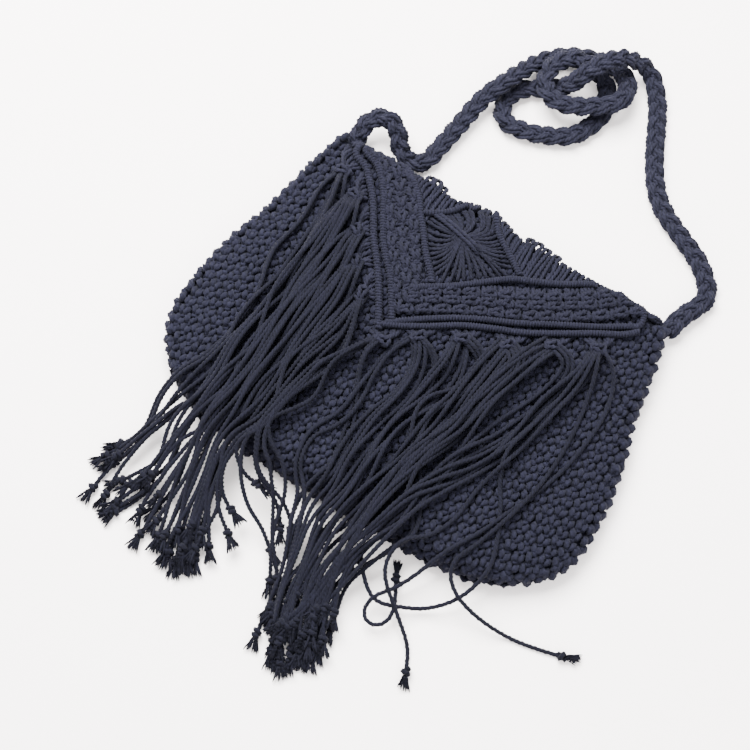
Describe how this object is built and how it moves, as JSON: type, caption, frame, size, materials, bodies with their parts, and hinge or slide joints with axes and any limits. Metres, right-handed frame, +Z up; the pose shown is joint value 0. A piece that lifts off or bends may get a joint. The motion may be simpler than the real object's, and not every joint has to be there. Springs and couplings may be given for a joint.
{
  "type": "macrame crossbody bag",
  "caption": "Soft crocheted cotton pouch lying on its back, with a knotted macrame flap, long knotted fringe and a braided shoulder strap looped beside it",
  "frame": {"origin": "on the surface the bag lies on, below the middle of the box round everything but the strap", "axes": "+Z is up, away from the surface and out of the bag's front; +Y runs up the bag, out of its mouth; +X runs across the bag to the right as its front is seen"},
  "size_m": [0.3212, 0.4462, 0.0343],
  "materials": {
    "crochet": "matt dark navy cotton cord, crocheted in thick stitches",
    "macrame": "matt dark navy twisted cotton cord, knotted",
    "fringe_cord": "matt dark navy twisted cotton cord with frayed ends",
    "braid": "matt dark navy cotton cord in a flat braid"
  },
  "bodies": {
    "root": {"pouch": "crochet", "flap": "macrame", "flap_fold": "macrame", "fringe_left": "fringe_cord", "fringe_right": "fringe_cord", "strap": "braid"}
  },
  "joints": []
}
